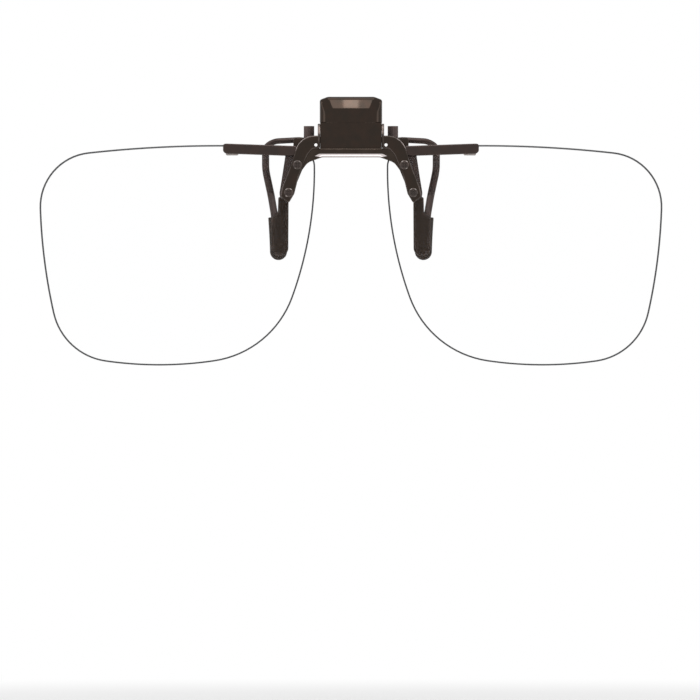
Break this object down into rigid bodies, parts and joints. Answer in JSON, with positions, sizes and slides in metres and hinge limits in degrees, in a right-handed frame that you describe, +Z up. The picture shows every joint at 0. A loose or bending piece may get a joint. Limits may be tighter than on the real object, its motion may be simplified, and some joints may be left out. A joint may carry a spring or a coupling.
{
  "type": "clip-on spectacle lens pair",
  "caption": "Clip-on flip-up lens pair: rimless curved lenses on a hinged bridge, carried by a sprung clip with sleeved jaws and a thumb lever.",
  "frame": {"origin": "midway between the left and right grip pads, on the plane where the front and rear pads close", "axes": "+X to the right as seen from the front, -Y out of the lenses' front, +Z up towards the thumb tabs"},
  "size_m": [0.1308, 0.0163, 0.0564],
  "materials": {
    "bronze_metal": "glossy dark bronze plating",
    "steel": "plain steel, lightly oiled",
    "screw_metal": "bright dark bronze",
    "brass": "blackened",
    "sleeve_rubber": "soft satin silicone",
    "lens_clear": "clear polycarbonate with a faint blue coating",
    "clear_nylon": "translucent"
  },
  "bodies": {
    "clip": {"clip_housing": "bronze_metal", "front_tab": "bronze_metal", "click_leaf": "steel", "front_jaw": "bronze_metal", "left_front_sleeve": "sleeve_rubber", "right_front_sleeve": "sleeve_rubber", "torsion_spring": "steel"},
    "rear_jaw": {"jaw_axle": "steel", "thumb_lever": "bronze_metal", "left_wire_post": "bronze_metal", "right_wire_post": "bronze_metal", "post_screws": "steel", "left_rear_wire": "bronze_metal", "right_rear_wire": "bronze_metal", "left_rear_sleeve": "sleeve_rubber", "right_rear_sleeve": "sleeve_rubber"},
    "lens_carrier": {"flip_pin": "steel", "hinge_washers": "brass", "bridge_bar": "bronze_metal", "left_horn": "bronze_metal", "right_horn": "bronze_metal", "left_lens": "lens_clear", "right_lens": "lens_clear", "left_brow_arm": "bronze_metal", "right_brow_arm": "bronze_metal", "left_edge_pad": "clear_nylon", "right_edge_pad": "clear_nylon", "lens_screws": "screw_metal", "lens_nuts": "steel", "lens_bushes": "clear_nylon"}
  },
  "joints": [
    {"name": "jaw_opening", "type": "hinge", "parent": "clip", "child": "rear_jaw", "pos_m": [0, 0.0012, 0.0202], "axis": [1, 0, 0], "range_deg": [0, 22], "stiffness_Nm_per_rad": 0.04, "springref_deg": -40.11, "deforming": ["torsion_spring"]},
    {"name": "lens_flip", "type": "hinge", "parent": "clip", "child": "lens_carrier", "pos_m": [0, -0.0045, 0.0203], "axis": [-1, 0, 0], "range_deg": [0, 90]}
  ]
}
